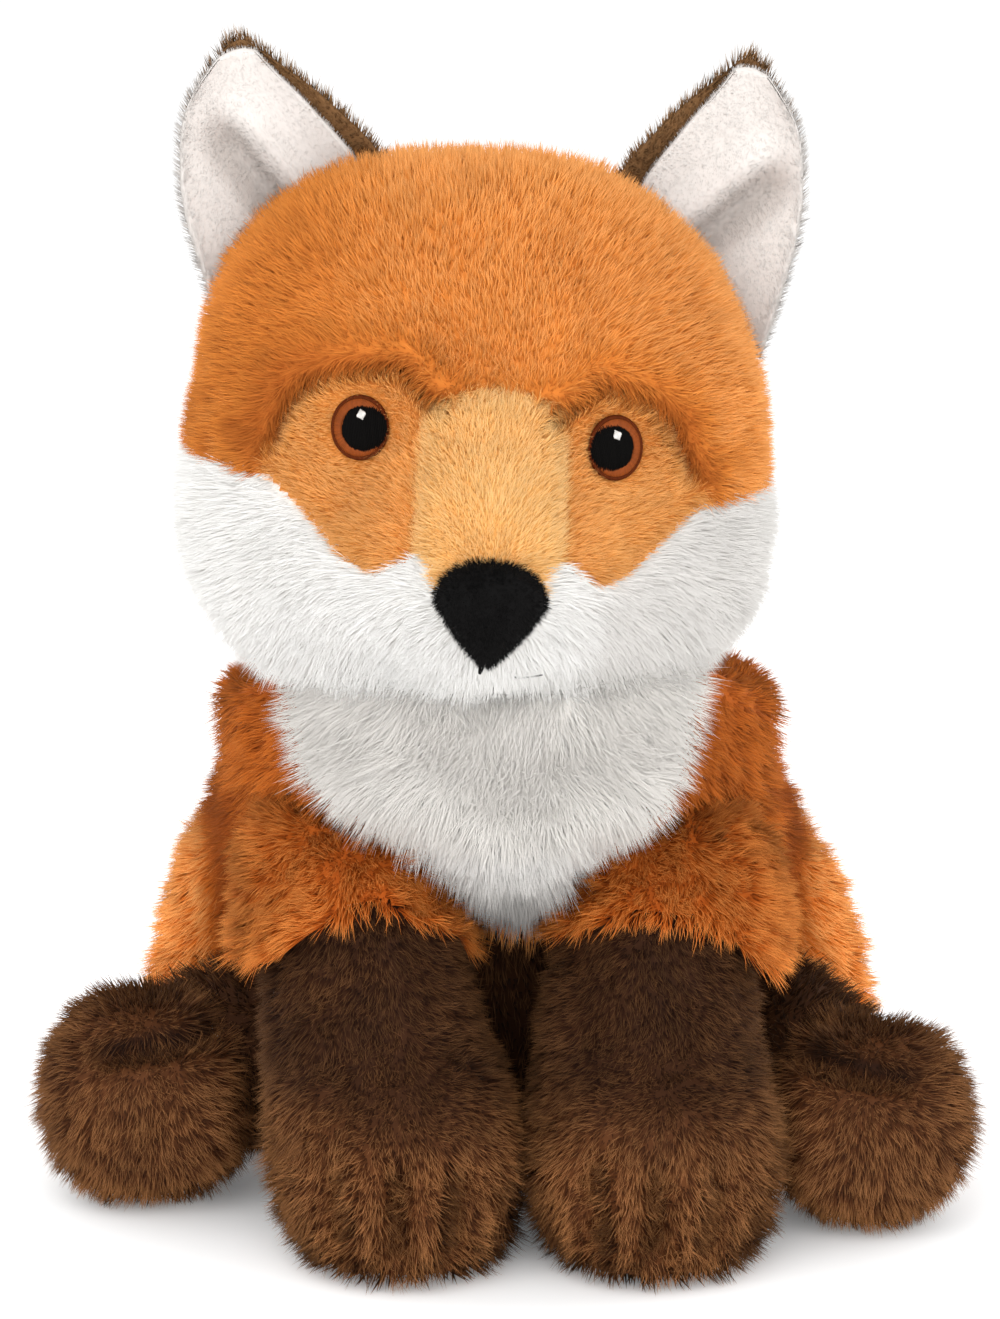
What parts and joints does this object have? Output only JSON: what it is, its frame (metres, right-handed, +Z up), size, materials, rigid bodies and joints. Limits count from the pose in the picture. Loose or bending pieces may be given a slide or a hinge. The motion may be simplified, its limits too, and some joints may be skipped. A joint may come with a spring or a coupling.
{
  "type": "plush fox",
  "caption": "Seated stuffed fox in orange, white and brown pile fabric, with sewn ears, embroidered eyes, a velour nose and soft jointed head, legs and tail.",
  "frame": {"origin": "on the ground under the middle of the toy's bounding box", "axes": "+Z up from the ground to the ear tips; the fox looks along -Y, with its tail towards +Y; +X is to the right of someone facing it"},
  "size_m": [0.24, 0.2582, 0.3017],
  "materials": {
    "orange_pile": "matte",
    "face_pile": "matte",
    "white_pile": "matte",
    "brown_pile": "matte",
    "ear_pile": "matte",
    "stuffing": "matte",
    "bag_cloth": "matte",
    "nose_velour": "matte",
    "iris_thread": "matte",
    "black_thread": "matte",
    "white_thread": "matte"
  },
  "bodies": {
    "torso": {"torso_skin": "orange_pile", "chest_bib": "white_pile", "torso_stuffing": "stuffing", "pellet_bag": "bag_cloth", "neck_stuffing": "stuffing"},
    "head": {"head_crown": "orange_pile", "muzzle_bridge": "face_pile", "eye_panel_left": "face_pile", "eye_panel_right": "face_pile", "cheek_left": "white_pile", "cheek_right": "white_pile", "nose_pad": "nose_velour", "mouth_thread": "black_thread", "iris_left": "iris_thread", "iris_right": "iris_thread", "pupil_left": "black_thread", "pupil_right": "black_thread", "glint_left": "white_thread", "glint_right": "white_thread", "head_stuffing": "stuffing"},
    "ear_left": {"ear_back_left": "ear_pile", "ear_lining_left": "white_pile"},
    "ear_right": {"ear_back_right": "ear_pile", "ear_lining_right": "white_pile"},
    "foreleg_left": {"foreleg_sleeve_left": "orange_pile", "foreleg_sock_left": "brown_pile", "foreleg_stuffing_left": "stuffing"},
    "foreleg_right": {"foreleg_sleeve_right": "orange_pile", "foreleg_sock_right": "brown_pile", "foreleg_stuffing_right": "stuffing"},
    "hindleg_left": {"hindleg_shank_left": "brown_pile", "hindleg_foot_left": "brown_pile", "hindleg_stuffing_left": "stuffing"},
    "hindleg_right": {"hindleg_shank_right": "brown_pile", "hindleg_foot_right": "brown_pile", "hindleg_stuffing_right": "stuffing"},
    "tail": {"tail_brush": "orange_pile", "tail_tip": "white_pile", "tail_stuffing": "stuffing"}
  },
  "joints": [
    {"name": "head_turn", "type": "hinge", "parent": "torso", "child": "head", "pos_m": [-0.00453, -0.04048, 0.143], "axis": [0, 0, 1], "range_deg": [-12, 12], "stiffness_Nm_per_rad": 0.15},
    {"name": "ear_flex_left", "type": "hinge", "parent": "head", "child": "ear_left", "pos_m": [-0.05279, -0.03936, 0.24967], "axis": [-0.8, 0, -0.6], "range_deg": [-8, 8], "stiffness_Nm_per_rad": 0.01},
    {"name": "ear_flex_right", "type": "hinge", "parent": "head", "child": "ear_right", "pos_m": [0.04856, -0.03582, 0.2446], "axis": [0.8, 0, -0.6], "range_deg": [-8, 8], "stiffness_Nm_per_rad": 0.01},
    {"name": "foreleg_raise_left", "type": "hinge", "parent": "torso", "child": "foreleg_left", "pos_m": [-0.03303, -0.07107, 0.11136], "axis": [-1, 0, 0], "range_deg": [0, 40], "stiffness_Nm_per_rad": 0.1},
    {"name": "foreleg_raise_right", "type": "hinge", "parent": "torso", "child": "foreleg_right", "pos_m": [0.03897, -0.07107, 0.11136], "axis": [-1, 0, 0], "range_deg": [0, 40], "stiffness_Nm_per_rad": 0.1},
    {"name": "hindleg_splay_left", "type": "hinge", "parent": "torso", "child": "hindleg_left", "pos_m": [-0.08363, -0.00048, 0.038], "axis": [0, 0, -1], "range_deg": [0, 15], "stiffness_Nm_per_rad": 0.1},
    {"name": "hindleg_splay_right", "type": "hinge", "parent": "torso", "child": "hindleg_right", "pos_m": [0.08457, -0.00048, 0.038], "axis": [0, 0, 1], "range_deg": [0, 15], "stiffness_Nm_per_rad": 0.1},
    {"name": "tail_swing", "type": "hinge", "parent": "torso", "child": "tail", "pos_m": [0.00047, 0.069, 0.032], "axis": [0, 0, 1], "range_deg": [-20, 20], "stiffness_Nm_per_rad": 0.05}
  ]
}
